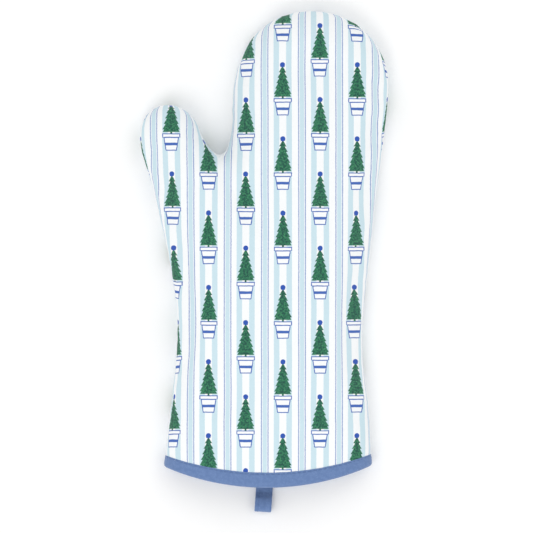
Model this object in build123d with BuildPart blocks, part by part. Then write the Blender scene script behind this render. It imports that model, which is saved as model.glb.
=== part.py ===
from build123d import *
import os
from math import cos, radians, sin, sqrt

os.makedirs("parts", exist_ok=True)

# ---------------------------------------------------------------- driving dimensions (mm)
# The mitt lies on its back: +Z up through the thickness, +Y toward the fingertips, +X away from
# the thumb.  Z = 0 is the face it rests on.
crown_height = 38.0        # thickness at the middle of the palm
crown_across = 306.0       # crown radius across the hand
crown_along = 1500.0       # crown radius from cuff to fingertips
edge_top = 9.0             # rounding of the upper edge
edge_bottom = 8.0          # rounding of the lower edge
seam_height = 9.5          # height of the side seam

shell = 0.6                # printed cotton outer fabric
batting = 3.2              # needled cotton wadding
lining = 0.6               # inner fabric
tape = 0.5                 # doubled bias tape of the cuff binding
pinch = 0.5                # how much the wadding is squeezed on each side under the binding

wall = shell + batting + lining

cuff_apex = -156.7         # lowest point of the cuff edge
cuff_radius = 182.0        # plan radius of the cuff edge
band_apex = -146.2         # lowest point of the binding's upper edge
band_radius = 215.0        # plan radius of the binding's upper edge
cuff_centre = 1.8          # x of the cuff's centre line
fold_step = 0.8            # width of the strip where the layers dive under the binding

thread = 0.6               # sewing thread, as laid in the seam
stitch_line = 0.8          # width of the topstitch line
stitch_inset = 1.2         # topstitch below the binding's upper edge
stitch_depth = 0.3

loop_width = 11.6          # hanging loop tape
loop_tape = 1.1            # folded tape thickness
loop_reach = 15.3          # from the fold line to the loop's end
loop_offset = 1.8          # fold line outside the cuff edge
loop_lean = 3.9            # degrees the loop leans toward the thumb side
loop_x = 0.2
loop_level = 2.2           # height of the loop's fold line
root_length = 9.0          # tape ends tucked into the binding

# Plan outline of the mitt from the thumb side of the cuff round the thumb and the fingers and
# back: points with the outline's heading in degrees, joined by pairs of tangent arcs.  The two
# cuff sides run straight on from its ends.
outline_keys = [
    ((-65.5, -107.0), 83.2),
    ((-60.5, -58.8), 87.1),
    ((-68.4, 13.3), 102.6),
    ((-80.0, 60.1), 107.0),
    ((-86.1, 83.0), 97.5),
    ((-84.4, 97.4), 64.1),
    ((-68.7, 108.9), 5.7),
    ((-52.8, 103.7), -41.0),
    ((-37.5, 78.8), -51.3),
    ((-29.7, 74.8), 20.2),
    ((-25.1, 81.2), 72.4),
    ((-20.4, 125.6), 80.2),
    ((-0.3, 163.1), 38.4),
    ((32.4, 174.2), 0.6),
    ((62.0, 166.1), -31.6),
    ((85.3, 133.7), -77.7),
    ((84.7, 98.0), -97.1),
    ((77.1, 38.1), -96.2),
    ((69.3, -34.3), -94.6),
    ((68.9, -70.5), -86.2),
    ((72.9, -106.7), -86.3),
]
cuff_side = 76.0           # length of the straight sides before the cuff is cut


def tangent_arcs(keys):
    """(point, inward normal) at the start, middle and end of every arc of the outline."""
    arcs = []
    for (a, a_deg), (b, b_deg) in zip(keys, keys[1:]):
        a, b = Vector(*a), Vector(*b)
        ta = Vector(cos(radians(a_deg)), sin(radians(a_deg)))
        tb = Vector(cos(radians(b_deg)), sin(radians(b_deg)))
        v, t = b - a, ta + tb
        spread = 2 * (1 - ta.dot(tb))
        reach = (sqrt(v.dot(t) ** 2 + spread * v.dot(v)) - v.dot(t)) / spread
        meet = (a + b + (ta - tb) * reach) * 0.5
        for start, heading, end in ((a, ta, meet), (meet, None, b)):
            chord = (end - start).normalized()
            heading = heading or leaving
            leaving = chord * (2 * chord.dot(heading)) - heading
            side = Vector(-heading.Y, heading.X)
            bend = side.dot(end - start) * 2 / (end - start).dot(end - start)
            centre = start + side * (1 / bend)
            sign = 1 if bend > 0 else -1
            middle = centre + Vector(chord.Y, -chord.X) * (sign / abs(bend))
            arcs.append(
                [
                    (start, Vector(heading.Y, -heading.X)),
                    (middle, Vector(chord.Y, -chord.X)),
                    (end, Vector(leaving.Y, -leaving.X)),
                ]
            )
    return arcs


outline_arcs = tangent_arcs(outline_keys)

dome_sweep = 8.5
dome_pivot = (0, -10, crown_height - crown_along)
dome_plane = Plane(
    origin=dome_pivot,
    x_dir=(1, 0, 0),
    z_dir=(0, -cos(radians(dome_sweep)), sin(radians(dome_sweep))),
)


def lay_outline(depth):
    """Draws the plan outline moved inward by depth, closed below the cuff."""
    run = cuff_side + depth
    for arc in outline_arcs:
        ThreePointArc(*(point + inward * depth for point, inward in arc))
    (first, first_in), (last, last_in) = outline_arcs[0][0], outline_arcs[-1][-1]
    first, last = first + first_in * depth, last + last_in * depth
    left = first + Vector(first_in.Y, -first_in.X) * run
    right = last + Vector(-last_in.Y, last_in.X) * run
    Line(left, first)
    Line(last, right)
    Line(right, left)


def rim(face):
    """The edges of a flat or domed side that run round the mitt."""
    return face.edges().filter_by(lambda e: e.center().Y > -175)


def layer_body(depth):
    """Solid pillow whose surface lies depth inside the mitt's outer surface."""
    with BuildPart() as pillow:
        with BuildSketch(Plane.XY.offset(depth)):
            with BuildLine():
                lay_outline(depth)
            make_face()
        extrude(amount=crown_height + 10)
        # domed upper side: an arc across the hand carried round a much larger arc along it
        with BuildSketch(dome_plane):
            with BuildLine():
                rise = crown_along - crown_across
                half = 130
                shoulder = rise + sqrt((crown_across - depth) ** 2 - half**2)
                ThreePointArc((half, shoulder), (0, crown_along - depth), (-half, shoulder))
                Polyline((-half, shoulder), (-half, crown_along - 70), (half, crown_along - 70), (half, shoulder))
            make_face()
        revolve(axis=Axis(dome_pivot, (1, 0, 0)), revolution_arc=2 * dome_sweep, mode=Mode.INTERSECT)
        fillet(rim(pillow.faces().sort_by(Axis.Z)[0]), edge_bottom - depth)
        fillet(rim(pillow.faces().sort_by(Axis.Z)[-1]), edge_top - depth)
    return pillow.part


def above_arc(apex, radius, shift=0.0):
    """Everything on the finger side of an arc across the cuff."""
    with BuildPart() as zone:
        with BuildSketch(Plane.XY.offset(-5)):
            with BuildLine():
                drop = radius - sqrt(radius**2 - 120**2)
                low = apex + shift
                left, right = (cuff_centre - 120, low + drop), (cuff_centre + 120, low + drop)
                ThreePointArc(left, (cuff_centre, low), right)
                Polyline(right, (right[0], 230), (left[0], 230), left)
            make_face()
        extrude(amount=70)
    return zone.part


def kept(body, keep=None, drop=None):
    """body limited to keep, with drop taken away."""
    with BuildPart() as piece:
        add(body)
        if keep is not None:
            add(keep, mode=Mode.INTERSECT)
        if drop is not None:
            add(drop, mode=Mode.SUBTRACT)
    return piece.part


def seam_strip(near, far, low, high, keep):
    """Cord lying along the side seam between two depths."""
    with BuildPart() as strip:
        for depth, mode in ((near, Mode.ADD), (far, Mode.SUBTRACT)):
            with BuildSketch(Plane.XY.offset(low)):
                with BuildLine():
                    lay_outline(depth)
                make_face()
            extrude(amount=high - low, mode=mode)
        add(keep, mode=Mode.INTERSECT)
    return strip.part


def save(part, name):
    part.label = name
    export_step(part, f"parts/{name}.step")


# ---------------------------------------------------------------- cuff zones, from the fingers down
cloth_zone = above_arc(band_apex, band_radius, fold_step)   # layers at their full loft
band_zone = above_arc(band_apex, band_radius)               # down to the binding's upper edge
raw_edge_zone = above_arc(cuff_apex, cuff_radius, 0.6)      # down to the layers' cut edge
cuff_zone = above_arc(cuff_apex, cuff_radius)               # down to the fold of the binding

# depths below the mitt's surface at full loft and under the binding
d_shell, d_batting = shell, shell + batting
u_shell_out, u_shell_in = tape, tape + shell
u_lining_out, u_lining_in = wall - tape - lining, wall - tape

body_0 = layer_body(0)
body_shell = layer_body(d_shell)
body_batting = layer_body(d_batting)
body_wall = layer_body(wall)
body_u1 = layer_body(u_shell_out)
body_u2 = layer_body(u_shell_in)
body_u3 = layer_body(u_lining_out)
body_u4 = layer_body(u_lining_in)

# ---------------------------------------------------------------- tucked tape ends of the hanging loop
lean = radians(loop_lean)
loop_out = (-sin(lean), -cos(lean), 0)      # from the cuff toward the loop's end
loop_across = (cos(lean), -sin(lean), 0)    # along the fold line
loop_pivot = (loop_x, cuff_apex - loop_offset, loop_level)

with BuildPart() as loop_root:
    with BuildSketch(Plane(origin=loop_pivot, x_dir=loop_across, z_dir=loop_out)):
        Rectangle(loop_width, 2 * loop_tape)
    extrude(amount=-(root_length + loop_offset))
    add(cuff_zone, mode=Mode.INTERSECT)

# ---------------------------------------------------------------- seam threads
seam_low, seam_high = seam_height - 0.4, seam_height + 0.4
thread_zone = above_arc(band_apex, band_radius, 3.0)
shell_seam = seam_strip(shell, shell + thread, seam_low, seam_high, thread_zone)
lining_seam = seam_strip(d_batting - thread, d_batting, seam_low, seam_high, thread_zone)

# ---------------------------------------------------------------- outer fabric
with BuildPart() as shell_layer:
    add(kept(body_0, band_zone))
    add(kept(body_u1, raw_edge_zone))
    add(kept(body_shell, cloth_zone), mode=Mode.SUBTRACT)
    add(body_u2, mode=Mode.SUBTRACT)

# ---------------------------------------------------------------- wadding
with BuildPart() as batting_layer:
    add(kept(body_shell, cloth_zone))
    add(kept(body_u2, raw_edge_zone))
    add(kept(body_batting, cloth_zone), mode=Mode.SUBTRACT)
    add(kept(body_u3, drop=cloth_zone), mode=Mode.SUBTRACT)
    add(shell_seam, mode=Mode.SUBTRACT)
    add(lining_seam, mode=Mode.SUBTRACT)
    add(loop_root.part, mode=Mode.SUBTRACT)

# ---------------------------------------------------------------- inner fabric
with BuildPart() as lining_layer:
    add(kept(body_batting, cloth_zone))
    add(kept(body_u3, raw_edge_zone, drop=cloth_zone))
    add(kept(body_wall, band_zone), mode=Mode.SUBTRACT)
    add(kept(body_u4, drop=band_zone), mode=Mode.SUBTRACT)

# ---------------------------------------------------------------- cuff binding with its stitching
stitch_zone_top = above_arc(band_apex, band_radius, -stitch_inset)
stitch_zone_low = above_arc(band_apex, band_radius, -stitch_inset - stitch_line)
body_s1 = layer_body(stitch_depth)
body_s2 = layer_body(wall - stitch_depth)
outer_stitch = kept(kept(body_0, stitch_zone_low, drop=stitch_zone_top), drop=body_s1)
inner_stitch = kept(kept(body_s2, stitch_zone_low, drop=stitch_zone_top), drop=body_wall)

with BuildPart() as cuff_binding:
    add(kept(body_0, cuff_zone, drop=band_zone))
    add(body_wall, mode=Mode.SUBTRACT)
    add(kept(kept(body_u1, raw_edge_zone), drop=body_u4), mode=Mode.SUBTRACT)
    add(outer_stitch, mode=Mode.SUBTRACT)
    add(inner_stitch, mode=Mode.SUBTRACT)
    add(loop_root.part, mode=Mode.SUBTRACT)

# ---------------------------------------------------------------- hanging loop, free part
loop_plane = Plane(origin=loop_pivot, x_dir=loop_out, z_dir=(-cos(lean), sin(lean), 0))
tip = loop_reach
outer_profile = [
    (0, -1.1), (2.4, -1.3), (4.8, -1.85), (7.8, -2.1), (12.4, -2.05), (tip - 0.9, -1.1), (tip, 1.3),
    (tip - 0.9, 3.8), (12.5, 4.85), (9.3, 5.0), (6.0, 4.5), (3.0, 2.3), (0, 1.1),
]
stitch_profile = [
    (0, -0.8), (2.4, -1.0), (4.85, -1.55), (7.8, -1.8), (12.35, -1.75), (tip - 1.12, -0.9), (tip - 0.3, 1.3),
    (tip - 1.12, 3.6), (12.4, 4.55), (9.35, 4.7), (6.15, 4.23), (3.12, 2.0), (0, 0.8),
]
inner_profile = [
    (3.9, 0.5), (5.2, -0.75), (8.0, -1.0), (12.3, -0.95), (tip - 1.55, -0.2), (tip - 1.1, 1.3),
    (tip - 1.55, 2.95), (12.3, 3.75), (9.4, 3.9), (6.7, 3.5), (4.9, 2.2),
]


def loop_solid(outer, width):
    with BuildPart() as solid:
        with BuildSketch(loop_plane):
            with BuildLine():
                Spline(*outer)
                ThreePointArc(outer[-1], (-1.1, 0), outer[0])
            make_face()
            with BuildLine():
                Spline(*inner_profile, periodic=True)
            make_face(mode=Mode.SUBTRACT)
        extrude(amount=width / 2, both=True)
    return solid.part


plain_loop = loop_solid(outer_profile, loop_width)

# edge stitching set into the tape's outer face
with BuildPart() as loop_edge_stitch:
    with BuildSketch(loop_plane.offset(loop_width / 2 - 2.0 - stitch_line)):
        with BuildLine():
            Spline(*outer_profile)
            ThreePointArc(outer_profile[-1], (-1.1, 0), outer_profile[0])
        make_face()
        with BuildLine():
            Spline(*stitch_profile)
            Polyline(stitch_profile[-1], (-3, 0.8), (-3, -0.8), stitch_profile[0])
        make_face(mode=Mode.SUBTRACT)
    extrude(amount=stitch_line)
    with BuildSketch(Plane(origin=loop_pivot, x_dir=loop_across, z_dir=loop_out)):
        Rectangle(40, 20)
    extrude(amount=-5, mode=Mode.SUBTRACT)

with BuildPart() as hanging_loop:
    add(plain_loop)
    add(loop_edge_stitch.part, mode=Mode.SUBTRACT)

# ---------------------------------------------------------------- front and back halves, and the rest
seam_plane = Plane.XY.offset(seam_height)
for layer, stem in ((shell_layer, "outer"), (batting_layer, "batting"), (lining_layer, "lining")):
    for side, keep in (("front", Keep.TOP), ("back", Keep.BOTTOM)):
        with BuildPart() as half:
            add(layer.part)
            split(bisect_by=seam_plane, keep=keep)
        save(half.part, f"{stem}_{side}")

save(cuff_binding.part, "cuff_binding")
save(shell_seam, "shell_seam_thread")
save(lining_seam, "lining_seam_thread")
save(outer_stitch, "binding_topstitch")
save(inner_stitch, "binding_understitch")
save(loop_root.part, "loop_root")
save(hanging_loop.part, "hanging_loop")
save(loop_edge_stitch.part, "loop_edge_stitch")
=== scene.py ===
import math

import bpy
import numpy as np
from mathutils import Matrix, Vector, kdtree, noise
from mathutils.geometry import delaunay_2d_cdt


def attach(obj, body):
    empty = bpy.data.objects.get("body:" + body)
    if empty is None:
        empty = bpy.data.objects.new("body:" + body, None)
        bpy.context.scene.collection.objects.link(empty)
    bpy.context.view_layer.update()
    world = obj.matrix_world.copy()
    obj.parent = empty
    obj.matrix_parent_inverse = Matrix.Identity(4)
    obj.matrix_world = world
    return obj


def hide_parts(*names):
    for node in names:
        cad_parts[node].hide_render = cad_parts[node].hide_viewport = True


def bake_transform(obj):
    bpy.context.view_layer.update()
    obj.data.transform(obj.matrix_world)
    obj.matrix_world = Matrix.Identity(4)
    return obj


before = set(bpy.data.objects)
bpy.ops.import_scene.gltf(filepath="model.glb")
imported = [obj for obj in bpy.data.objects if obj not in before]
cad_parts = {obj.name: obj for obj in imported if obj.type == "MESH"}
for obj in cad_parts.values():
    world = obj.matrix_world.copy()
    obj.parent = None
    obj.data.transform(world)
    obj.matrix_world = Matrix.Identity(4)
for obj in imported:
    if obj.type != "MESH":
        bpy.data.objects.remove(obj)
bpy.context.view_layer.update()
scene = bpy.context.scene
MM = 0.001
rng = np.random.default_rng(7)

# ------------------------------------------------------------------ the mitt's plan, as in the CAD model (mm)
KEYS = [
    ((-65.5, -107.0), 83.2),
    ((-60.5, -58.8), 87.1),
    ((-68.4, 13.3), 102.6),
    ((-80.0, 60.1), 107.0),
    ((-86.1, 83.0), 97.5),
    ((-84.4, 97.4), 64.1),
    ((-68.7, 108.9), 5.7),
    ((-52.8, 103.7), -41.0),
    ((-37.5, 78.8), -51.3),
    ((-29.7, 74.8), 20.2),
    ((-25.1, 81.2), 72.4),
    ((-20.4, 125.6), 80.2),
    ((-0.3, 163.1), 38.4),
    ((32.4, 174.2), 0.6),
    ((62.0, 166.1), -31.6),
    ((85.3, 133.7), -77.7),
    ((84.7, 98.0), -97.1),
    ((77.1, 38.1), -96.2),
    ((69.3, -34.3), -94.6),
    ((68.9, -70.5), -86.2),
    ((72.9, -106.7), -86.3),
]
SEAM_Z, CROWN, ACROSS, ALONG = 9.5, 38.0, 612.0, 3000.0
CUFF_Y, CUFF_X, WALL = -156.7, 1.8, 4.4
BAND_Y = -146.2
W_FRONT, W_BACK = 22.0, 9.5


def tangent_arcs(keys):
    out = []
    for (a, da), (b, db) in zip(keys, keys[1:]):
        a, b = np.array(a, float), np.array(b, float)
        ta = np.array((math.cos(math.radians(da)), math.sin(math.radians(da))))
        tb = np.array((math.cos(math.radians(db)), math.sin(math.radians(db))))
        v, t = b - a, ta + tb
        spread = 2 * (1 - ta @ tb)
        reach = (math.sqrt((v @ t) ** 2 + spread * (v @ v)) - v @ t) / spread
        meet = (a + b + (ta - tb) * reach) / 2
        head = ta
        for p, q in ((a, meet), (meet, b)):
            c = (q - p) / np.linalg.norm(q - p)
            side = np.array((-head[1], head[0]))
            bend = (side @ (q - p)) * 2 / ((q - p) @ (q - p))
            out.append((p, head, bend, q))
            head = c * (2 * c @ head) - head
    return out


def arc_points(p, head, bend, q, n):
    """n points from p toward q, without q, with the inward normals."""
    sweep = 2 * math.asin(max(-1, min(1, np.linalg.norm(q - p) * bend / 2)))
    centre = p + np.array((-head[1], head[0])) / bend
    pts, nrm = [], []
    for k in range(n):
        a = sweep * k / n
        ca, sa = math.cos(a), math.sin(a)
        r = p - centre
        pts.append(centre + np.array((r[0] * ca - r[1] * sa, r[0] * sa + r[1] * ca)))
        h = np.array((head[0] * ca - head[1] * sa, head[0] * sa + head[1] * ca))
        nrm.append((h[1], -h[0]))
    return pts, nrm, abs(sweep / bend)


def outline(spacing, fine):
    pts, nrm = [], []
    arcs = tangent_arcs(KEYS)
    p0, h0 = arcs[0][0], arcs[0][1]
    run = np.arange(76, 0.1, -spacing)
    for r in run:
        pts.append(p0 - h0 * r)
        nrm.append((h0[1], -h0[0]))
    for p, head, bend, q in arcs:
        step = fine if abs(bend) > 1 / 30 else spacing
        length = 2 * math.asin(min(1, abs(np.linalg.norm(q - p) * bend / 2))) / abs(bend)
        a, b, _ = arc_points(p, head, bend, q, max(1, round(length / step)))
        pts += a
        nrm += b
    p, head, bend, q = arcs[-1]
    c = (q - p) / np.linalg.norm(q - p)
    h1 = c * (2 * c @ head) - head
    for r in [0, *run[::-1]]:
        pts.append(q + h1 * r)
        nrm.append((h1[1], -h1[0]))
    return np.array(pts), np.array(nrm)


# The cuff's rows fan out from the curved edge: (x, row) is the plan with a straight cuff.
def bow(row):
    return np.maximum(0.0054945 - 8.03e-5 * (np.asarray(row, float) - CUFF_Y), 1e-7)


def rise(x, row):
    k = bow(row)
    return (1 - np.sqrt(np.maximum(1 - (k * (x - CUFF_X)) ** 2, 0))) / k


def to_row(x, y):
    row = np.array(y, float)
    for _ in range(12):
        row = y - rise(x, row)
    return row


dense_pts, dense_nrm = outline(0.7, 0.35)
tree = kdtree.KDTree(len(dense_pts))
for i, p in enumerate(dense_pts):
    tree.insert((p[0], p[1], 0), i)
tree.balance()


def edge_of(x, y):
    co, i, _ = tree.find((x, y, 0))
    n = dense_nrm[i]
    d = (x - co[0]) * n[0] + (y - co[1]) * n[1]
    return max(d, 0.0), -n


def top_height(x, y, d):
    h = CROWN - x * x / ACROSS - (y + 10) ** 2 / ALONG - SEAM_Z
    t = 1 - np.minimum(d, W_FRONT) / W_FRONT
    z = SEAM_Z + h * np.sqrt(np.maximum(1 - t * t, 0))
    # the soft hollow that runs down from the crotch between thumb and palm, and the loft's slow unevenness
    inner = np.clip(d / 14, 0, 1) * np.clip((y + 128) / 30, 0, 1)
    u = (x + 30) * 0.42 + (74 - y) * 0.907
    v = (x + 30) * 0.907 - (74 - y) * 0.42
    z = z - inner * 3.0 * np.exp(-(((u - 26) / 34) ** 2) - (v + 2) ** 2 / 90)
    return z, inner


def soft(x, y, z, scale, seed):
    return noise.noise((x / scale + seed, y / scale, z / scale))


# ------------------------------------------------------------------ panel surfaces
ring_pts, ring_nrm = outline(2.4, 1.5)


def spread_table(w, h, ease):
    """How much further out the print lies than its plan at distance d: the cloth is eased in over the padding (by
    the share ease on the gentle slope), and the print follows its full length down the steep side."""
    d = w * (1 - np.cos(np.linspace(0, np.pi / 2, 200)))
    z = h * np.sin(np.linspace(0, np.pi / 2, 200))
    t = np.clip((4.2 - d[1:]) / 3.4, 0, 1)
    seg = (np.hypot(np.diff(d), np.diff(z)) - np.diff(d)) * (ease + (1 - ease) * t * t * (3 - 2 * t))
    left = np.concatenate([np.cumsum(seg[::-1])[::-1], [0]])
    return d, left


def panel(arcs, radius, w, h, grid, ease):
    """Plan vertices (x, row), depth from the outline, outward direction, faces and boundary loop of one panel."""
    depths = [w * (1 - math.cos(a / radius)) for a in arcs]
    rings = []
    for d in depths:
        q = ring_pts + ring_nrm * d
        rings.append(np.column_stack([q[:, 0], to_row(q[:, 0], q[:, 1])]))
    half = len(ring_pts) // 2
    i0 = max(int(np.argmax(r[:half, 1] > CUFF_Y + 1.0)) for r in rings)
    i1 = min(len(r) - 1 - int(np.argmax(r[::-1][:half, 1] > CUFF_Y + 1.0)) for r in rings)
    verts, dist, out = [], [], []
    for r, d in zip(rings, depths):
        for end, nxt in ((i0, i0 - 1), (None, None), (i1, i1 + 1)):
            if end is None:
                for i in range(i0, i1 + 1):
                    verts.append(r[i])
                    dist.append(d)
                    out.append(-ring_nrm[i])
            else:
                a, b = r[end], r[nxt]
                f = (CUFF_Y - a[1]) / (b[1] - a[1])
                verts.append(a + (b - a) * f)
                dist.append(d)
                out.append(-ring_nrm[end])
    n = i1 - i0 + 3
    faces = []
    for k in range(len(rings) - 1):
        for i in range(n - 1):
            a, b = k * n + i, (k + 1) * n + i
            faces.append((a, a + 1, b + 1, b))
    last = (len(rings) - 1) * n
    left, right = verts[last], verts[last + n - 1]
    count = int((right[0] - left[0]) / 2.6)
    bottom = [np.array((right[0] + (left[0] - right[0]) * k / count, CUFF_Y)) for k in range(1, count)]
    poly = [last + i for i in range(n)] + list(range(len(verts), len(verts) + len(bottom)))
    verts += bottom
    for b in bottom:
        dist.append(0)
        out.append(None)
    xs = np.arange(-84, 86, grid)
    rows = np.arange(CUFF_Y + grid * 0.8, 176, grid * 0.866)
    inside = []
    for j, y in enumerate(rows):
        for x in xs + (grid / 2 if j % 2 else 0):
            real = y + float(rise(x, y))
            d, _ = edge_of(x, real)
            if d > depths[-1] + grid * 0.55 and in_outline(x, real):
                inside.append(np.array((x, y)))
    start = len(verts)
    verts += inside
    used = poly + list(range(start, len(verts)))
    back = {v: i for i, v in enumerate(used)}
    ring = [back[v] for v in poly]
    cv, _, cf, ov, _, _ = delaunay_2d_cdt([Vector(verts[v]) for v in used], [], [ring[::-1]], 1, 1e-5, True)
    assert len(cv) == len(used)
    source = [o[0] for o in ov]
    fence = np.array([verts[v] for v in poly])
    for f in cf:
        f = [used[source[i]] for i in f]
        mid = sum(verts[i] for i in f) / len(f)
        if not in_polygon(fence, *mid):
            continue
        a, b, c = (verts[i] for i in f[:3])
        if (b[0] - a[0]) * (c[1] - a[1]) - (b[1] - a[1]) * (c[0] - a[0]) > 0:
            f = f[::-1]
        faces.append(tuple(f))
    verts = np.array(verts)
    real = verts[:, 1] + rise(verts[:, 0], verts[:, 1])
    dist += [0.0] * (len(verts) - len(dist))
    for i in range(len(rings) * n, len(verts)):
        d, o = edge_of(verts[i, 0], real[i])
        dist[i] = d if d > depths[-1] else max(d, depths[-1])
        co, k, _ = tree.find((verts[i, 0], real[i], 0))
        away = np.array((co[0] - verts[i, 0], co[1] - real[i]))
        size = np.linalg.norm(away)
        out_i = away / size if size > 1e-6 else o
        while len(out) <= i:
            out.append(None)
        out[i] = out_i
    loop = list(range(n - 1, -1, -1))
    ends = [k * n for k in range(len(rings))]
    edge = loop + ends[1:] + list(reversed(poly[n:])) + [k * n + n - 1 for k in range(len(rings) - 1, 0, -1)]
    table_d, table_s = spread_table(w, h, ease)
    shift = np.interp(np.array(dist, float), table_d, table_s)
    cloth = np.column_stack([verts[:, 0], real]) + np.array(out, float) * shift[:, None]
    return {"plan": verts, "real": real, "dist": np.array(dist, float), "faces": faces, "edge": edge, "rim": n, "cloth": cloth}


def in_outline(x, y):
    return in_polygon(dense_pts, x, y)


def in_polygon(points, x, y):
    px, py = points[:, 0], points[:, 1]
    qx, qy = np.roll(px, -1), np.roll(py, -1)
    hit = (py > y) != (qy > y)
    with np.errstate(divide="ignore", invalid="ignore"):
        cross = px + (y - py) / (qy - py) * (qx - px)
    return bool(np.count_nonzero(hit & (x < cross)) % 2)


front = panel([0, 0.5, 1.1, 1.9, 3.0, 4.6, 6.8, 9.4, 12.2, 15, 18, 21, 24], 26.0, W_FRONT, 26.0, 2.6, 0.08)
back = panel([0, 0.5, 1.1, 1.9, 3.0, 4.6, 6.6, 8.8, 11, 13], 9.5, W_BACK, 9.5, 2.8, 1.0)

# front
x, y = front["plan"][:, 0], front["real"]
z, _ = top_height(x, y, front["dist"])
front["z"] = z
# back: flat where it rests, with shallow hollows between the places that touch
x, y = back["plan"][:, 0], back["real"]
t = 1 - np.minimum(back["dist"], W_BACK) / W_BACK
lift = np.array([0.35 + 0.9 * max(0, soft(a, b, 0, 38, 3)) for a, b in zip(x, y)])
lift *= np.clip(back["dist"] / 14, 0, 1) * np.clip((y + 128) / 30, 0, 1)
back["z"] = SEAM_Z - (SEAM_Z - lift - 0.05) * np.sqrt(np.maximum(1 - t * t, 0))

n_rim = front["rim"]
assert back["rim"] == n_rim
nf = len(front["plan"])
# one closed-side shell: the back panel shares the front panel's rim vertices
back_index = np.concatenate([np.arange(n_rim), np.arange(nf, nf + len(back["plan"]) - n_rim)])
base = np.vstack(
    [
        np.column_stack([front["plan"][:, 0], front["real"], front["z"]]),
        np.column_stack([back["plan"][n_rim:, 0], back["real"][n_rim:], back["z"][n_rim:]]),
    ]
)
row = np.concatenate([front["plan"][:, 1], back["plan"][n_rim:, 1]])
dist = np.concatenate([front["dist"], back["dist"][n_rim:]])
faces = [tuple(f[::-1]) for f in front["faces"]] + [tuple(int(back_index[i]) for i in f) for f in back["faces"]]
print("panels", nf, len(base), len(faces))


def tri_array(faces):
    out = []
    for f in faces:
        for i in range(1, len(f) - 1):
            out.append((f[0], f[i], f[i + 1]))
    return np.array(out)


tris = tri_array(faces)


def normals_of(v):
    n = np.cross(v[tris[:, 1]] - v[tris[:, 0]], v[tris[:, 2]] - v[tris[:, 0]])
    out = np.zeros_like(v)
    for k in range(3):
        np.add.at(out, tris[:, k], n)
    return out / np.maximum(np.linalg.norm(out, axis=1, keepdims=True), 1e-12)


edges = np.unique(np.sort(np.vstack([tris[:, [0, 1]], tris[:, [1, 2]], tris[:, [2, 0]]]), axis=1), axis=0)


def smooth_field(f, rounds, keep=None):
    f = np.array(f, float)
    deg = np.zeros(len(f))
    np.add.at(deg, edges[:, 0], 1)
    np.add.at(deg, edges[:, 1], 1)
    for _ in range(rounds):
        acc = np.zeros_like(f)
        np.add.at(acc, edges[:, 0], f[edges[:, 1]])
        np.add.at(acc, edges[:, 1], f[edges[:, 0]])
        new = 0.5 * f + 0.5 * acc / (deg[:, None] if f.ndim > 1 else deg)
        if keep is not None:
            new[keep] = f[keep]
        f = new
    return f


def new_mesh(name, verts, faces, smooth=True):
    me = bpy.data.meshes.new(name)
    me.from_pydata([tuple(v) for v in verts], [], [tuple(int(i) for i in f) for f in faces])
    me.update()
    if smooth:
        me.polygons.foreach_set("use_smooth", [True] * len(me.polygons))
    ob = bpy.data.objects.new(name, me)
    scene.collection.objects.link(ob)
    return ob


# ------------------------------------------------------------------ cloth: the two panels, sewn all round, filled by the loft
pin = np.clip((-row - 118) / 14, 0, 1)
pin[:n_rim] = 1
pin = np.maximum(pin, np.clip(1 - dist / 1.5, 0, 1))
ob = new_mesh("cloth_rest", base * MM, faces)
vg = ob.vertex_groups.new(name="pin")
for i, w in enumerate(pin):
    if w > 0:
        vg.add([i], float(w), "REPLACE")
# the cut is a little longer than the wadding it covers, unevenly
grow = ob.vertex_groups.new(name="ease")
for i in range(len(base)):
    grow.add([i], 0.5 + 0.5 * max(-1, min(1, 1.6 * soft(*base[i], 26, 11))), "REPLACE")
mod = ob.modifiers.new("cloth", "CLOTH")
st = mod.settings
st.quality = 6
st.mass = 0.25
st.air_damping = 4
st.tension_stiffness = 25
st.compression_stiffness = 25
st.shear_stiffness = 8
st.bending_stiffness = 1.2
st.vertex_group_mass = "pin"
st.pin_stiffness = 1
st.shrink_min = -0.005
st.shrink_max = -0.035
st.vertex_group_shrink = "ease"
st.use_pressure = True
st.uniform_pressure_force = 0.25
st.effector_weights.gravity = 0
mod.collision_settings.use_collision = False
mod.point_cache.frame_start, mod.point_cache.frame_end = 1, 26
for f in range(1, 23):
    scene.frame_set(f)
dg = bpy.context.evaluated_depsgraph_get()
ev = ob.evaluated_get(dg).data
co = np.zeros(len(base) * 3)
ev.vertices.foreach_get("co", co)
moved = co.reshape(-1, 3) / MM - base
scene.frame_set(1)
bpy.data.objects.remove(ob, do_unlink=True)
size = np.linalg.norm(moved, axis=1, keepdims=True)
print("cloth moved: median %.2f, 95%% %.2f, max %.2f mm" % (np.median(size), np.percentile(size, 95), size.max()))
cap = 2.6
moved *= np.where(size > cap, cap * (2 - np.exp(-(size - cap) / cap)) / np.maximum(size, 1e-9) / 1.3, 1)
moved = smooth_field(moved, 2)
moved *= (1 - pin)[:, None]
surf = base + moved
surf[:, 2] = np.maximum(surf[:, 2], 0.05)

# the stitched side seam draws the cloth in, and the binding squeezes the layers
normal = normals_of(surf)
smooth_normal = smooth_field(normal, 10)
smooth_normal /= np.linalg.norm(smooth_normal, axis=1, keepdims=True)
arc = np.zeros(len(base))
arc[:nf] = np.arccos(np.clip(1 - np.minimum(dist[:nf], W_FRONT) / W_FRONT, 0, 1)) * 26
arc[nf:] = np.arccos(np.clip(1 - np.minimum(dist[nf:], W_BACK) / W_BACK, 0, 1)) * 9.5
crease = 0.75 * np.exp(-arc / 1.3)
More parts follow.
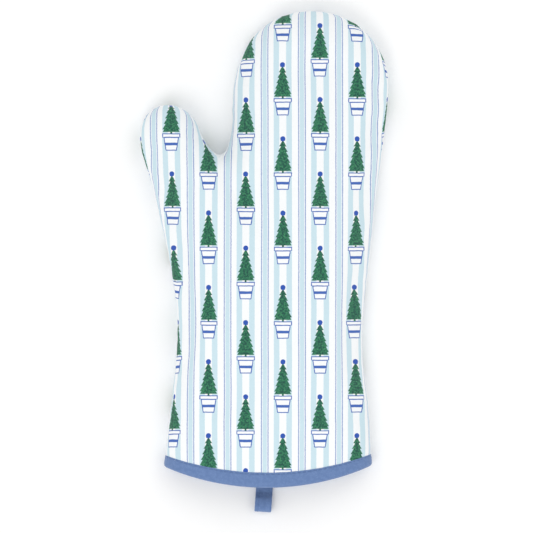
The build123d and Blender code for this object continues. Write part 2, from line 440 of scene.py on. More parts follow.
# small puckers that run square to the seam and die out over the padding
along_seam = np.concatenate([[0], np.cumsum(np.linalg.norm(np.diff(dense_pts, axis=0), axis=1))])
for i, (x, y, _) in enumerate(base):
    if arc[i] < 30:
        s = along_seam[tree.find((x, y, 0))[1]] + (0 if i < nf else 400)
        ripple = 0.62 * soft(s, 0, 0, 5.5, 17) + 0.28 * soft(s, 9, 0, 2.8, 29)
        ripple *= math.exp(-arc[i] / 7) * (1 - math.exp(-arc[i] / 1.2)) * min(max((row[i] + 140) / 20, 0), 1)
        surf[i] += smooth_normal[i] * ripple
surf[:, 2] = np.maximum(surf[:, 2], 0.05)
normal = normals_of(surf)


def squeeze(row):
    return 0.55 * np.where(row < BAND_Y, 1.0, np.exp(-np.maximum(row - BAND_Y, 0) / 5.0))


def at_depth(d):
    """The surface moved inward by d mm of wall."""
    s = squeeze(row)
    real = s + (WALL - 2 * s) * d / WALL
    mix = np.clip(d / 2.0, 0, 1)
    n = normal * (1 - mix) + smooth_normal * mix
    n /= np.linalg.norm(n, axis=1, keepdims=True)
    return surf - n * (real + crease * (1 - 0.4 * d / WALL))[:, None]


def layer(name, side, d_out, d_in):
    p = front if side == "front" else back
    index = np.arange(nf) if side == "front" else back_index
    fs = p["faces"] if side == "front" else [f[::-1] for f in p["faces"]]
    top, low = at_depth(d_out)[index], at_depth(d_in)[index]
    rows = row[index]
    # the cut edge stops just inside the binding's fold
    for v in (top, low):
        v[:, 1] += np.clip(CUFF_Y + 0.9 - rows, 0, 0.9)
    m = len(index)
    fc = [tuple(f) for f in fs] + [tuple(i + m for i in f[::-1]) for f in fs]
    loop = p["edge"]
    for a, b in zip(loop, loop[1:] + loop[:1]):
        fc.append((a, b, b + m, a + m))
    ob = new_mesh(name, np.vstack([top, low]) * MM, fc)
    me = ob.data
    me.update()
    bm_fix(me)
    uv = me.uv_layers.new(name="print")
    c = np.vstack([p["cloth"], p["cloth"]]) / 100.0
    if side == "back":
        c = c * np.array((-1, 1)) + np.array((0.51, 0.13))
    idx = np.zeros(len(me.loops), np.int32)
    me.loops.foreach_get("vertex_index", idx)
    uv.data.foreach_set("uv", c[idx].ravel())
    return ob


def bm_fix(me):
    import bmesh

    bm = bmesh.new()
    bm.from_mesh(me)
    bmesh.ops.recalc_face_normals(bm, faces=bm.faces)
    bm.to_mesh(me)
    bm.free()


outer_front = layer("outer_front_cloth", "front", 0.0, 0.6)
outer_back = layer("outer_back_cloth", "back", 0.0, 0.6)
batting_front = layer("batting_front_pad", "front", 0.68, 3.7)
batting_back = layer("batting_back_pad", "back", 0.68, 3.7)
lining_front = layer("lining_front_cloth", "front", 3.8, 4.4)
lining_back = layer("lining_back_cloth", "back", 3.8, 4.4)


# ------------------------------------------------------------------ the cuff: loops round the mouth
def cuff_sides(r):
    """x of the two outline sides at a row."""
    q = np.column_stack([dense_pts[:, 0], to_row(dense_pts[:, 0], dense_pts[:, 1])])
    half = len(q) // 2
    lower = q[:half][q[:half, 1] < -112]
    upper = q[half:][q[half:, 1] < -112][::-1]
    return np.interp(r, lower[:, 1], lower[:, 0]), np.interp(r, upper[:, 1], upper[:, 0])


N_LOOP = 480


def cuff_loop(r):
    xl, xr = cuff_sides(r)
    a = np.linspace(0, 1, 60) ** 1.3 * (np.pi / 2)
    d = W_FRONT * (1 - np.cos(a))
    xs = np.concatenate([xl + d, np.linspace(xl + W_FRONT, xr - W_FRONT, 60)[1:-1], (xr - d)[::-1]])
    dd = np.minimum(xs - xl, xr - xs)
    zf, _ = top_height(xs, r + rise(xs, r), dd)
    ab = np.linspace(0, np.pi / 2, 40)
    db = W_BACK * (1 - np.cos(ab))
    xb = np.concatenate([xr - db, np.linspace(xr - W_BACK, xl + W_BACK, 80)[1:-1], (xl + db)[::-1]])
    tb = 1 - np.minimum(np.minimum(xb - xl, xr - xb), W_BACK) / W_BACK
    zb = SEAM_Z - (SEAM_Z - 0.05) * np.sqrt(np.maximum(1 - tb * tb, 0))
    pts = np.vstack([np.column_stack([xs, zf]), np.column_stack([xb, zb])[1:-1]])
    closed = np.vstack([pts, pts[:1]])
    s = np.concatenate([[0], np.cumsum(np.linalg.norm(np.diff(closed, axis=0), axis=1))])
    t = np.linspace(0, s[-1], N_LOOP, endpoint=False)
    p = np.column_stack([np.interp(t, s, closed[:, 0]), np.interp(t, s, closed[:, 1])])
    for _ in range(2):
        p = 0.5 * p + 0.25 * (np.roll(p, 1, 0) + np.roll(p, -1, 0))
    tan = np.roll(p, -1, 0) - np.roll(p, 1, 0)
    tan /= np.linalg.norm(tan, axis=1, keepdims=True)
    return p, np.column_stack([tan[:, 1], -tan[:, 0]]), s[-1]


loops = {}


def on_cuff(r, depth):
    """Points all round the mouth at a row (scalar) and depth (scalar or one per point)."""
    key = round(float(r) * 20) / 20
    if key not in loops:
        loops[key] = cuff_loop(key)
    p, n, _ = loops[key]
    q = p + n * np.reshape(depth, (-1, 1))
    return np.column_stack([q[:, 0], r + rise(q[:, 0], r), q[:, 1]])


mouth = cuff_loop(BAND_Y - 1.2)[2]
stitches = int(round(mouth / 3.6))
phase = np.arange(N_LOOP) / N_LOOP * stitches * 2 * np.pi
wander = np.array([soft(k / 7.0, 0, 0, 1, 5) for k in range(N_LOOP)])
wander = wander * np.minimum(1, np.minimum(np.arange(N_LOOP), N_LOOP - np.arange(N_LOOP)) / 20)
wander2 = np.array([soft(k / 4.0, 9, 0, 1, 8) for k in range(N_LOOP)])
wander2 = wander2 * np.minimum(1, np.minimum(np.arange(N_LOOP), N_LOOP - np.arange(N_LOOP)) / 20)

TAPE = 0.55
S = 0.55
top_o, top_i = BAND_Y, BAND_Y + 0.5
section = []  # (row, depth of the tape's surface, how much it puckers)


def leg_out(r):
    """Outer face of the outer leg: drawn in along the stitching, padded below it."""
    u = r - (BAND_Y - 1.2)
    return 0.12 + 0.22 * math.exp(-(u / 0.55) ** 2) - 0.18 * math.exp(-((u + 4.4) / 2.6) ** 2)


for r in (top_o - 0.0,):
    section += [(r - 0.1, S - 0.02, 0.0), (r + 0.05, S - 0.18, 0.2), (r - 0.02, 0.22, 0.5)]
for r in np.linspace(top_o - 0.3, CUFF_Y + 2.4, 26):
    section.append((float(r), leg_out(float(r)), 1.0))
for a in np.linspace(0.12, 0.88, 11):
    section.append((CUFF_Y + 2.2 - 2.2 * math.sin(a * math.pi), 2.2 - 2.08 * math.cos(a * math.pi), 0.35))
for r in np.linspace(CUFF_Y + 2.4, top_i - 0.3, 20):
    u = float(r) - (BAND_Y - 1.2)
    section.append((float(r), WALL - 0.12 - 0.2 * math.exp(-(u / 0.55) ** 2), 1.0))
section += [(top_i - 0.02, WALL - 0.22, 0.5), (top_i + 0.05, WALL - S + 0.18, 0.2), (top_i - 0.1, WALL - S + 0.02, 0.0)]
inner = [(r, WALL - S + 0.03) for r in np.linspace(top_i - 0.8, CUFF_Y + 1.6, 8)]
inner += [(CUFF_Y + 0.85, WALL - 1.0), (CUFF_Y + 0.72, WALL / 2), (CUFF_Y + 0.85, 1.0)]
inner += [(r, S - 0.03) for r in np.linspace(CUFF_Y + 1.6, top_o - 0.8, 8)]
verts, tape_v = [], []
run = 0.0
prev = None
for r, d, pk in section:
    middle = d < WALL / 2
    u = r - (BAND_Y - 1.2)
    near = math.exp(-(u / 1.8) ** 2)
    wave = pk * (0.09 * near * np.cos(phase) + 0.10 * wander2 + 0.05 * np.cos(phase * 0.5 + 9 * wander) * math.exp(-((u + 3) / 3) ** 2))
    shift_row = 0.16 * wander if pk < 0.6 and abs(r - BAND_Y) < 1.5 else 0.10 * wander * pk
    p = on_cuff(r, np.clip(d + (wave if middle else -wave), 0.02, WALL - 0.02))
    p[:, 1] += shift_row
    if prev is not None:
        run += math.hypot(r - prev[0], d - prev[1])
    prev = (r, d)
    verts.append(p)
    tape_v.append(run)
for r, d in inner:
    verts.append(on_cuff(r, d))
    run += 1.2
    tape_v.append(run)
m = len(verts)
fc = []
for j in range(m):
    k = (j + 1) % m
    for i in range(N_LOOP):
        e = (i + 1) % N_LOOP
        fc.append((j * N_LOOP + i, j * N_LOOP + e, k * N_LOOP + e, k * N_LOOP + i))
binding = new_mesh("cuff_binding_tape", np.vstack(verts) * MM, fc)
bm_fix(binding.data)


def tape_uv(ob, uv_of_vertex, wrap=None):
    me = ob.data
    uv = me.uv_layers.new(name="tape")
    idx = np.zeros(len(me.loops), np.int32)
    me.loops.foreach_get("vertex_index", idx)
    c = uv_of_vertex[idx].copy()
    if wrap:
        start = np.zeros(len(me.polygons), np.int32)
        total = np.zeros(len(me.polygons), np.int32)
        me.polygons.foreach_get("loop_start", start)
        me.polygons.foreach_get("loop_total", total)
        for s, n in zip(start, total):
            u = c[s : s + n, 0]
            if u.max() - u.min() > wrap / 2:
                u[u < wrap / 2] += wrap
                c[s : s + n, 0] = u
    uv.data.foreach_set("uv", c.ravel())


uu = np.tile(np.arange(N_LOOP) / N_LOOP * mouth / 100, m)
vv = np.repeat(np.array(tape_v) / 100, N_LOOP)
tape_uv(binding, np.column_stack([uu, vv]), mouth / 100)


# ------------------------------------------------------------------ sewing thread
def thread_run(name, path, ups, radius, gap=0.17, sink=0.35, mids=None):
    """Stitches along a path of needle points: each is a short twisted length that dips in at both ends.
    Points of mids, halfway along each stitch, bend it with a curved tape."""
    verts, faces = [], []
    sides, along = 8, 9
    for k in range(len(path) - 1):
        a, b, up = path[k], path[k + 1], (ups[k] + ups[k + 1]) / 2
        up = up / np.linalg.norm(up)
        ax = b - a
        length = np.linalg.norm(ax)
        ax = ax / length
        up = up - ax * (up @ ax)
        up /= np.linalg.norm(up)
        sd = np.cross(ax, up)
        base_i = len(verts)
        for j in range(along):
            t = j / (along - 1)
            s = gap / 2 + (1 - gap) * t
            arch = math.sin(math.pi * t) ** 0.6
            c = a + ax * (s * length) + up * (radius * (-sink * 2.4 + (sink * 2.4 + 0.45) * arch))
            if mids is not None:
                c = c + (mids[k] - (a + b) / 2) * (4 * s * (1 - s))
            r = radius * (0.55 + 0.45 * math.sin(math.pi * min(max(t, 0.02), 0.98)) ** 0.4)
            for q in range(sides):
                w = 2 * math.pi * q / sides + t * 2.2
                verts.append(c + (up * math.cos(w) * 0.85 + sd * math.sin(w)) * r)
        for j in range(along - 1):
            for q in range(sides):
                e = (q + 1) % sides
                p = base_i + j * sides
                faces.append((p + q, p + e, p + sides + e, p + sides + q))
        faces.append(tuple(base_i + q for q in range(sides))[::-1])
        faces.append(tuple(base_i + (along - 1) * sides + q for q in range(sides)))
    ob = new_mesh(name, np.array(verts) * MM, faces)
    bm_fix(ob.data)
    return ob


def ring_sample(points, t):
    """Points at fractions t of a closed ring, by length."""
    c = np.vstack([points, points[:1]])
    s = np.concatenate([[0], np.cumsum(np.linalg.norm(np.diff(c, axis=0), axis=1))])
    return np.column_stack([np.interp(t * s[-1], s, c[:, i]) for i in range(3)])


frac = np.arange(stitches + 1) / stitches
stitch_row = BAND_Y - 1.2
ro = on_cuff(stitch_row, np.full(N_LOOP, leg_out(stitch_row)))
deep = on_cuff(stitch_row, np.full(N_LOOP, leg_out(stitch_row) + 1))
po = ring_sample(ro, frac)
topstitch = thread_run("binding_topstitch_thread", po, po - ring_sample(deep, frac), 0.30)
ri = on_cuff(stitch_row, np.full(N_LOOP, WALL - 0.32))
pi_ = ring_sample(ri, frac)
understitch = thread_run("binding_understitch_thread", pi_, pi_ - ring_sample(on_cuff(stitch_row, np.full(N_LOOP, WALL - 1.4)), frac), 0.28)


def seam_cord(name, depth):
    """The lockstitch inside the side seam: a fine thread laid along the seam line."""
    p = at_depth(depth)[:n_rim]
    keep = [i for i in range(n_rim) if row[i] > BAND_Y + 4]
    p = p[keep]
    n = len(p)
    verts, fc = [], []
    for i in range(n):
        a, b = p[max(i - 1, 0)], p[min(i + 1, n - 1)]
        ax = (b - a) / np.linalg.norm(b - a)
        up = np.array((0, 0, 1.0))
        sd = np.cross(ax, up)
        sd /= np.linalg.norm(sd)
        for q in range(8):
            w = math.pi * q / 4
            verts.append(p[i] + (up * math.cos(w) + sd * math.sin(w)) * 0.22)
    for i in range(n - 1):
        for q in range(8):
            e = (q + 1) % 8
            fc.append((i * 8 + q, i * 8 + e, i * 8 + 8 + e, i * 8 + 8 + q))
    fc.append(tuple(range(8)))
    fc.append(tuple((n - 1) * 8 + q for q in range(8))[::-1])
    ob = new_mesh(name, np.array(verts) * MM, fc)
    bm_fix(ob.data)
    return ob


shell_thread = seam_cord("shell_seam_cord", 1.1)
lining_thread = seam_cord("lining_seam_cord", 3.3)

# ------------------------------------------------------------------ hanging loop
LEAN = math.radians(3.9)
OUT = np.array((-math.sin(LEAN), -math.cos(LEAN), 0))
ACR = np.array((math.cos(LEAN), -math.sin(LEAN), 0))
PIVOT = np.array((0.2, CUFF_Y - 1.8, 2.2))
UP = np.array((0, 0, 1.0))
TIP = 15.3


def fair(points, n, closed=False):
    """A smooth curve through points, n samples even by length."""
    p = np.array(points, float)
    out = []
    for i in range(len(p) - 1):
        p0, p1, p2, p3 = p[max(i - 1, 0)], p[i], p[i + 1], p[min(i + 2, len(p) - 1)]
        for t in np.linspace(0, 1, 12, endpoint=False):
            out.append(0.5 * (2 * p1 + (p2 - p0) * t + (2 * p0 - 5 * p1 + 4 * p2 - p3) * t**2 + (3 * p1 - p0 - 3 * p2 + p3) * t**3))
    out.append(p[-1])
    out = np.array(out)
    s = np.concatenate([[0], np.cumsum(np.linalg.norm(np.diff(out, axis=0), axis=1))])
    t = np.linspace(0, s[-1], n)
    return np.column_stack([np.interp(t, s, out[:, 0]), np.interp(t, s, out[:, 1])]), t


loop_line = [(-3.4, -0.56), (-1.0, -0.56), (1.6, -0.62), (4.2, -1.15), (7.4, -1.5), (11.6, -1.46), (TIP - 1.5, -0.95), (TIP - 0.55, 0.45),
             (TIP - 0.6, 2.1), (TIP - 1.7, 3.55), (12.2, 4.25), (9.3, 4.4), (6.2, 3.85), (3.4, 1.95), (1.5, 0.85), (-1.0, 0.57), (-3.4, 0.56)]


def ribbon(name, line, n, width, thick, uv_shift=0.0, ends=True):
    """A folded tape swept along a line in the loop's plane: rounded folded edge on one side, stitched double edge on the other."""
    c, t = fair(line, n)
    half, h = width / 2, thick / 2
    sec = []  # (across, through)
    for a in np.linspace(-math.pi / 2, math.pi / 2, 9):
        sec.append((half - h + h * math.cos(a), h * math.sin(a)))
    for x in np.linspace(half - h, -half + 0.35, 15)[1:-1]:
        sec.append((x, h * (1 + 0.05 * math.cos(x * 1.4)) - (0.10 * math.exp(-(((x + half - 2.4) / 0.5) ** 2)))))
    sec += [(-half + 0.3, h), (-half, h * 0.75), (-half - 0.02, h * 0.35), (-half + 0.35, 0.06), (-half + 0.35, -0.06),
            (-half - 0.02, -h * 0.35), (-half, -h * 0.75), (-half + 0.3, -h)]
    for x in np.linspace(-half + 0.35, half - h, 15)[1:-1]:
        sec.append((x, -h * (1 + 0.05 * math.cos(x * 1.4)) + (0.10 * math.exp(-(((x + half - 2.4) / 0.5) ** 2)))))
    sec = np.array(sec)
    m = len(sec)
    verts, uv = [], []
    girth = np.concatenate([[0], np.cumsum(np.linalg.norm(np.diff(sec, axis=0), axis=1))])
    for i in range(n):
        a, b = c[max(i - 1, 0)], c[min(i + 1, n - 1)]
        tan = (b - a) / np.linalg.norm(b - a)
        nrm = np.array((-tan[1], tan[0]))
        for k, (x, w) in enumerate(sec):
            x = x + 0.05 * math.sin(t[i] * 1.1 + 1) * (1 if x > 0 else -1)
            q = c[i] + nrm * (-w) * (1 + 0.04 * math.sin(t[i] * 2.2 + x))
            verts.append(PIVOT + OUT * q[0] + UP * q[1] + ACR * x)
            uv.append((t[i] / 100 + uv_shift, girth[k] / 100))
    fc = []
    for i in range(n - 1):
        for k in range(m):
            e = (k + 1) % m
            fc.append((i * m + k, i * m + e, (i + 1) * m + e, (i + 1) * m + k))
    fc.append(tuple(range(m))[::-1])
    fc.append(tuple((n - 1) * m + k for k in range(m)))
    ob = new_mesh(name, np.array(verts) * MM, fc)
    bm_fix(ob.data)
    tape_uv(ob, np.array(uv))
    return ob, c, t


loop_tape, centre, along = ribbon("hanging_loop_tape", loop_line, 130, 11.6, 1.0)
root_line = [(-10.2, 0.0), (-6.4, 0.0), (-3.5, 0.0)]
root_tape, _, _ = ribbon("loop_root_tape", root_line, 14, 11.5, 2.05, 0.4)

# edge stitching of the loop, on the tape's outer face
ts = np.arange(2.6, along[-1] - 2.4, 2.7)


def on_tape(t):
    """A point of the stitching line on the tape's outer face, and the way out of it."""
    i = min(max(int(np.searchsorted(along, t)), 1), len(along) - 2)
    step = centre[i + 1] - centre[i - 1]
    out = np.array((step[1], -step[0])) / np.linalg.norm(step)
    q = np.array((np.interp(t, along, centre[:, 0]), np.interp(t, along, centre[:, 1]))) + out * 0.42
    return PIVOT + OUT * q[0] + UP * q[1] + ACR * (-11.6 / 2 + 2.4), OUT * out[0] + UP * out[1]


needle = [on_tape(t) for t in ts]
halfway = np.array([on_tape(t)[0] for t in (ts[:-1] + ts[1:]) / 2])
loop_stitch = thread_run("loop_edge_stitching", np.array([n[0] for n in needle]), np.array([n[1] for n in needle]), 0.24, mids=halfway)


# ------------------------------------------------------------------ materials
def material(name):
    mat = bpy.data.materials.new(name)
    mat.use_nodes = True
    nt = mat.node_tree
    for n in list(nt.nodes):
        nt.nodes.remove(n)
    return mat, nt


class Net:
    def __init__(self, nt):
        self.nt = nt

    def node(self, kind, **props):
        n = self.nt.nodes.new(kind)
        for k, v in props.items():
            setattr(n, k, v)
        return n

    def put(self, socket, value):
        if isinstance(value, bpy.types.NodeSocket):
            self.nt.links.new(value, socket)
        else:
            socket.default_value = value

    def m(self, op, a, b=None, c=None):
        n = self.node("ShaderNodeMath", operation=op)
        for s, v in zip(n.inputs, (a, b, c)):
            if v is not None:
                self.put(s, v)
        return n.outputs[0]

    def ramp(self, x, lo, hi):
        """0 at lo, 1 at hi, smoothly."""
        n = self.node("ShaderNodeMapRange", interpolation_type="SMOOTHSTEP")
        self.put(n.inputs[0], x)
        n.inputs[1].default_value, n.inputs[2].default_value = (lo, hi) if lo < hi else (hi, lo)
        n.inputs[3].default_value, n.inputs[4].default_value = (0, 1) if lo < hi else (1, 0)
        return n.outputs[0]

    def mix(self, fac, a, b):
        n = self.node("ShaderNodeMix", data_type="RGBA")
        self.put(n.inputs[0], fac)
        for s, v in ((n.inputs[6], a), (n.inputs[7], b)):
            self.put(s, v if isinstance(v, bpy.types.NodeSocket) else (*v, 1.0) if len(v) == 3 else v)
        return n.outputs[2]

    def noise(self, vec, scale, detail=2.0, rough=0.5):
        n = self.node("ShaderNodeTexNoise")
        if vec is not None:
            self.put(n.inputs["Vector"], vec)
        n.inputs["Scale"].default_value = scale
        n.inputs["Detail"].default_value = detail
        n.inputs["Roughness"].default_value = rough
        return n.outputs[0]


def lin(r, g, b):
    return tuple(((c / 255 + 0.055) / 1.055) ** 2.4 if c / 255 > 0.04045 else c / 255 / 12.92 for c in (r, g, b))


def finish_fabric(net, colour, height, bump, rough, sheen=0.15, distance=0.0004):
    bs = net.node("ShaderNodeBsdfPrincipled")
    net.put(bs.inputs["Base Color"], colour if isinstance(colour, bpy.types.NodeSocket) else (*colour, 1.0))
    net.put(bs.inputs["Roughness"], rough)
    if "Sheen Weight" in bs.inputs:
        bs.inputs["Sheen Weight"].default_value = sheen
        bs.inputs["Sheen Roughness"].default_value = 0.5
    if "Specular IOR Level" in bs.inputs:
        bs.inputs["Specular IOR Level"].default_value = 0.25
    bp = net.node("ShaderNodeBump")
    bp.inputs["Strength"].default_value = bump
    bp.inputs["Distance"].default_value = distance
    net.put(bp.inputs["Height"], height)
    net.put(bs.inputs["Normal"], bp.outputs[0])
    out = net.node("ShaderNodeOutputMaterial")
    net.nt.links.new(bs.outputs[0], out.inputs[0])


def weave(net, x, y, pitch):
    """Plain weave: warp and weft crests that alternate."""
    a = net.m("SINE", net.m("MULTIPLY", x, 2 * math.pi / pitch))
    b = net.m("SINE", net.m("MULTIPLY", y, 2 * math.pi / pitch))
    return net.m("MULTIPLY_ADD", net.m("MULTIPLY", a, b), 0.5, 0.5)


def uv_mm(net, name):
    n = net.node("ShaderNodeUVMap", uv_map=name)
    sep = net.node("ShaderNodeSeparateXYZ")
    net.nt.links.new(n.outputs[0], sep.inputs[0])
    return net.m("MULTIPLY", sep.outputs[0], 100.0), net.m("MULTIPLY", sep.outputs[1], 100.0), n.outputs[0]


PALE = lin(202, 226, 235)
TRIM = lin(143, 163, 207)
WHITE = lin(247, 249, 250)
POT = lin(63, 102, 181)
GREEN = lin(38, 114, 82)
GREEN2 = lin(66, 142, 98)
GREEN3 = lin(18, 80, 66)
BALL = lin(39, 82, 176)


def printed_cotton():
    mat, nt = material("printed_cotton")
    net = Net(nt)
    m = net.m
    x0, y0, uv = uv_mm(net, "print")
    # ink on cloth wanders a little from its drawn line
    hand = net.noise(uv, 90.0, 1.0)
    hand2 = net.noise(uv, 28.0, 2.0)
    X = m("MULTIPLY_ADD", m("SUBTRACT", hand, 0.5), 0.45, x0)
    Y = m("MULTIPLY_ADD", m("SUBTRACT", hand2, 0.5), 0.45, y0)
    P, R = 25.75, 51.4

    # narrow stripe with a fine line down each side
    a = m("ABSOLUTE", m("SUBTRACT", m("FLOORED_MODULO", m("ADD", X, P / 2 - 0.49), P), P / 2))
    colour = net.mix(net.ramp(a, 1.62, 1.35), WHITE, PALE)
    colour = net.mix(net.ramp(m("ABSOLUTE", m("SUBTRACT", a, 2.3)), 0.45, 0.25), colour, TRIM)

    # paired bands either side of each motif column
    shifted = m("ADD", X, 12.75)
    sx = m("ADD", shifted, P / 2)
    b = m("ABSOLUTE", m("SUBTRACT", m("FLOORED_MODULO", sx, P), P / 2))
    band = net.ramp(m("ABSOLUTE", m("SUBTRACT", b, 4.34)), 2.02, 1.8)
    colour = net.mix(band, colour, PALE)

    # motif coordinates: s across, q its size, t down from the motif's top, at the ball on the tree's tip
    n = m("FLOOR", m("DIVIDE", sx, P))
    s = m("SUBTRACT", shifted, m("MULTIPLY", n, P))
    q = m("ABSOLUTE", s)
    odd = m("FLOORED_MODULO", n, 2.0)
    t = m("FLOORED_MODULO", m("SUBTRACT", m("SUBTRACT", 11.35, m("MULTIPLY", odd, 27.15)), Y), R)

    # plain tapered flowerpot: a rim and one painted band
    width = m("MAXIMUM", m("MULTIPLY_ADD", t, -0.16, 9.9), m("MULTIPLY", m("LESS_THAN", t, 28.1), 6.3))
    edge = m("MINIMUM", m("SUBTRACT", width, q), m("MINIMUM", m("SUBTRACT", t, 25.3), m("SUBTRACT", 37.3, t)))
    inside = net.ramp(edge, -0.12, 0.12)
    colour = net.mix(inside, colour, WHITE)
    line = net.ramp(edge, 0.85, 0.5)
    line = m("MAXIMUM", line, net.ramp(m("ABSOLUTE", m("SUBTRACT", t, 28.1)), 0.5, 0.25))
    line = m("MAXIMUM", line, net.ramp(m("ABSOLUTE", m("SUBTRACT", t, 32.7)), 1.1, 0.8))
    colour = net.mix(m("MULTIPLY", line, inside), colour, POT)

    # plain cone tree in tiers, on a short trunk, with a ball at its tip
    tuft = net.noise(uv, 95.0, 1.0)
    tier = m("FLOORED_MODULO", m("ADD", t, m("MULTIPLY", tuft, 0.6)), 3.8)
    half = m("MULTIPLY_ADD", t, 0.235, m("MULTIPLY_ADD", tier, 0.32, -0.35))
    leaf = m("MULTIPLY", net.ramp(m("SUBTRACT", half, q), -0.15, 0.2), m("MULTIPLY", net.ramp(t, 1.6, 2.2), net.ramp(t, 24.6, 24.1)))
    leaf = m("MAXIMUM", leaf, m("MULTIPLY", net.ramp(q, 0.8, 0.5), m("MULTIPLY", net.ramp(t, 23.5, 23.8), net.ramp(t, 25.7, 25.4))))
    vor = net.node("ShaderNodeTexVoronoi")
    net.put(vor.inputs["Vector"], uv)
    vor.inputs["Scale"].default_value = 95.0
    green = net.mix(net.ramp(vor.outputs["Distance"], 0.15, 0.62), GREEN2, GREEN)
    green = net.mix(net.ramp(m("ADD", net.noise(uv, 75.0, 2.0), m("MULTIPLY", q, -0.022)), 0.40, 0.56), green, GREEN3)
    colour = net.mix(leaf, colour, green)
    ball = m("SQRT", m("ADD", m("MULTIPLY", s, s), m("POWER", m("SUBTRACT", t, 2.0), 2.0)))
    colour = net.mix(net.ramp(ball, 1.9, 1.65), colour, BALL)

    # painted shade: the low parts of the weave are coloured greyer; the threads also take the ink unevenly, darker at
    # random with the grain
    wv = weave(net, x0, y0, 0.62)
    grain = net.noise(uv, 160.0, 3.0, 0.6)
    colour = net.mix(m("MULTIPLY", m("SUBTRACT", 1.0, wv), 0.05), colour, lin(196, 204, 212))
    colour = net.mix(net.ramp(grain, 0.50, 0.85), colour, m2(colour, net, 0.93))
    rough = m("MULTIPLY_ADD", grain, 0.12, 0.80)
    finish_fabric(net, colour, m("ADD", wv, m("MULTIPLY", grain, 0.7)), 0.28, rough, 0.1, 0.00025)
    return mat


def m2(colour, net, k):
    n = net.node("ShaderNodeMix", data_type="RGBA", blend_type="MULTIPLY")
    n.inputs[0].default_value = 1.0
    net.put(n.inputs[6], colour)
    n.inputs[7].default_value = (k, k, k, 1)
    return n.outputs[2]


def tape_cloth():
    """Blue cotton twill cut on the bias: fine diagonal ribs."""
    mat, nt = material("blue_twill")
    net = Net(nt)
    m = net.m
    x, y, uv = uv_mm(net, "tape")
    wob = net.noise(uv, 40.0, 2.0)
    rib = m("SINE", m("MULTIPLY_ADD", m("ADD", x, m("MULTIPLY", y, 0.9)), 2 * math.pi / 0.62, m("MULTIPLY", wob, 1.6)))
    cross = m("SINE", m("MULTIPLY", m("SUBTRACT", y, m("MULTIPLY", x, 0.35)), 2 * math.pi / 0.55))
    height = m("MULTIPLY_ADD", m("MULTIPLY_ADD", cross, 0.35, rib), 0.37, 0.5)
    grain = net.noise(uv, 120.0, 3.0, 0.6)
    # painted light and shade: the twill's ribs are coloured lighter on their crests and darker in their hollows, by the
    # same height that drives the bump
    base = net.mix(net.ramp(height, 0.05, 0.95), lin(94, 120, 168), lin(114, 141, 188))
    base = net.mix(net.ramp(grain, 0.45, 0.75), base, lin(122, 148, 192))
    base = net.mix(net.ramp(wob, 0.62, 0.35), base, lin(100, 127, 174))
    finish_fabric(net, base, m("ADD", height, m("MULTIPLY", grain, 0.5)), 0.35, m("MULTIPLY_ADD", grain, 0.12, 0.76), 0.2, 0.0003)
    return mat


def object_vec(net):
    return net.node("ShaderNodeTexCoord").outputs["Object"]


def plain_cotton():
    mat, nt = material("lining_cotton")
    net = Net(nt)
    x, y, uv = uv_mm(net, "print")
    wv = weave(net, x, y, 0.7)
    grain = net.noise(uv, 110.0, 3.0, 0.6)
    slub = net.noise(uv, 22.0, 2.0)
    # painted shade: the weave is coloured darker in its low parts and lighter on its crests, by the height the bump
    # uses
    c = net.mix(wv, lin(222, 222, 218), lin(243, 243, 240))
    c = net.mix(net.ramp(slub, 0.55, 0.8), c, lin(232, 230, 224))
    finish_fabric(net, c, net.m("ADD", wv, net.m("MULTIPLY", grain, 0.8)), 0.35, net.m("MULTIPLY_ADD", grain, 0.1, 0.85), 0.1, 0.0003)
    return mat


def wadding():
    mat, nt = material("wadding")
    net = Net(nt)
    v = object_vec(net)
    f = net.noise(v, 700.0, 5.0, 0.7)
    g = net.noise(v, 120.0, 3.0, 0.6)
    # painted shade: the fibres are coloured darker where the bump's noise is low and lighter where it is high
    c = net.mix(f, lin(226, 223, 214), lin(244, 242, 236))
    finish_fabric(net, c, net.m("ADD", f, g), 0.8, 0.95, 0.3, 0.0012)
    return mat


def thread(name, dark, light):
    mat, nt = material(name)
    net = Net(nt)
    v = object_vec(net)
    ply = net.node("ShaderNodeTexWave")
    net.put(ply.inputs["Vector"], v)
    ply.bands_direction = "DIAGONAL"
    ply.inputs["Scale"].default_value = 900.0
    ply.inputs["Distortion"].default_value = 0.6
    # painted shade: the ply's grooves take the dark colour and its crests the light one, by the same wave the bump uses
    c = net.mix(ply.outputs[1], dark, light)
    finish_fabric(net, c, ply.outputs[1], 0.4, 0.55, 0.15, 0.0001)
    return mat


cotton, twill, lining_m, pad_m = printed_cotton(), tape_cloth(), plain_cotton(), wadding()
blue_t = thread("blue_thread", lin(78, 103, 150), lin(104, 131, 178))
white_t = thread("white_thread", lin(222, 222, 218), lin(245, 245, 242))

# ------------------------------------------------------------------ what each piece is
PIECES = [
    (outer_front, cotton, "printed_cotton", ["outer_front"]),
    (outer_back, cotton, "printed_cotton", ["outer_back"]),
    (batting_front, pad_m, "wadding", ["batting_front"]),
    (batting_back, pad_m, "wadding", ["batting_back"]),
    (lining_front, lining_m, "lining_cotton", ["lining_front"]),
    (lining_back, lining_m, "lining_cotton", ["lining_back"]),
    (binding, twill, "blue_twill", ["cuff_binding"]),
    (topstitch, blue_t, "blue_thread", ["binding_topstitch"]),
    (understitch, blue_t, "blue_thread", ["binding_understitch"]),
    (shell_thread, white_t, "white_thread", ["shell_seam_thread"]),
    (lining_thread, white_t, "white_thread", ["lining_seam_thread"]),
    (root_tape, twill, "blue_twill", ["loop_root"]),
    (loop_tape, twill, "blue_twill", ["hanging_loop"]),
    (loop_stitch, blue_t, "blue_thread", ["loop_edge_stitch"]),
]
for ob, mat, slot, nodes in PIECES:
    ob.data.materials.append(mat)
    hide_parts(*nodes)
    if ob in (loop_tape, loop_stitch):
        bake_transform(ob)
    else:
        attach(ob, "mitt")


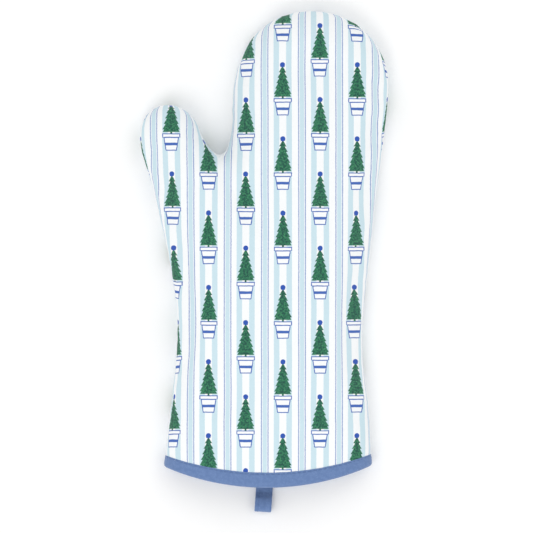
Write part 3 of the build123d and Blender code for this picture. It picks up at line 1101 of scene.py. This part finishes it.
def one_side_area(ob):
    me = ob.data
    return sum(p.area for p in me.polygons) / 2


for ob, part_area in ((outer_front, 0.0), (outer_back, 0.0), (lining_front, 0.0), (lining_back, 0.0)):
    print("area", ob.name, round(one_side_area(ob), 4))

# ------------------------------------------------------------------ floor, light, camera
bpy.ops.mesh.primitive_plane_add(size=6, location=(0, 0, -0.0001))
floor = bpy.context.object
floor.name = "floor"
mat, nt = material("floor")
net = Net(nt)
bs = net.node("ShaderNodeBsdfPrincipled")
bs.inputs["Base Color"].default_value = (0.93, 0.93, 0.93, 1)
bs.inputs["Roughness"].default_value = 0.9
if "Specular IOR Level" in bs.inputs:
    bs.inputs["Specular IOR Level"].default_value = 0.0
bs.inputs["Emission Color"].default_value = (1, 1, 1, 1)
bs.inputs["Emission Strength"].default_value = 0.05
o = net.node("ShaderNodeOutputMaterial")
nt.links.new(bs.outputs[0], o.inputs[0])
floor.data.materials.append(mat)

world = bpy.data.worlds.new("studio")
scene.world = world
world.use_nodes = True
bg = world.node_tree.nodes.get("Background") or world.node_tree.nodes.new("ShaderNodeBackground")
bg.inputs[0].default_value = (1, 1, 1, 1)
bg.inputs[1].default_value = 0.86


def area_light(name, loc, target, size, power):
    light = bpy.data.lights.new(name, "AREA")
    light.shape = "SQUARE"
    light.size = size
    light.energy = power
    ob = bpy.data.objects.new(name, light)
    ob.location = loc
    ob.rotation_euler = (Vector(target) - Vector(loc)).to_track_quat("-Z", "Y").to_euler()
    scene.collection.objects.link(ob)
    return ob


area_light("key", (-0.55, -1.1, 1.7), (0, 0, 0), 1.0, 9.0)
area_light("fill", (0.9, 0.8, 1.5), (0, 0, 0), 1.4, 3.5)

cam_data = bpy.data.cameras.new("camera")
cam_data.sensor_width = 36
cam_data.lens = 971.6
cam_data.clip_end = 20
cam = bpy.data.objects.new("camera", cam_data)
cam.location = (0.001735, -0.0033, 10.0)
cam.rotation_euler = (0, 0, 0)
scene.collection.objects.link(cam)
scene.camera = cam
scene.view_settings.view_transform = "Standard"
scene.view_settings.look = "None"
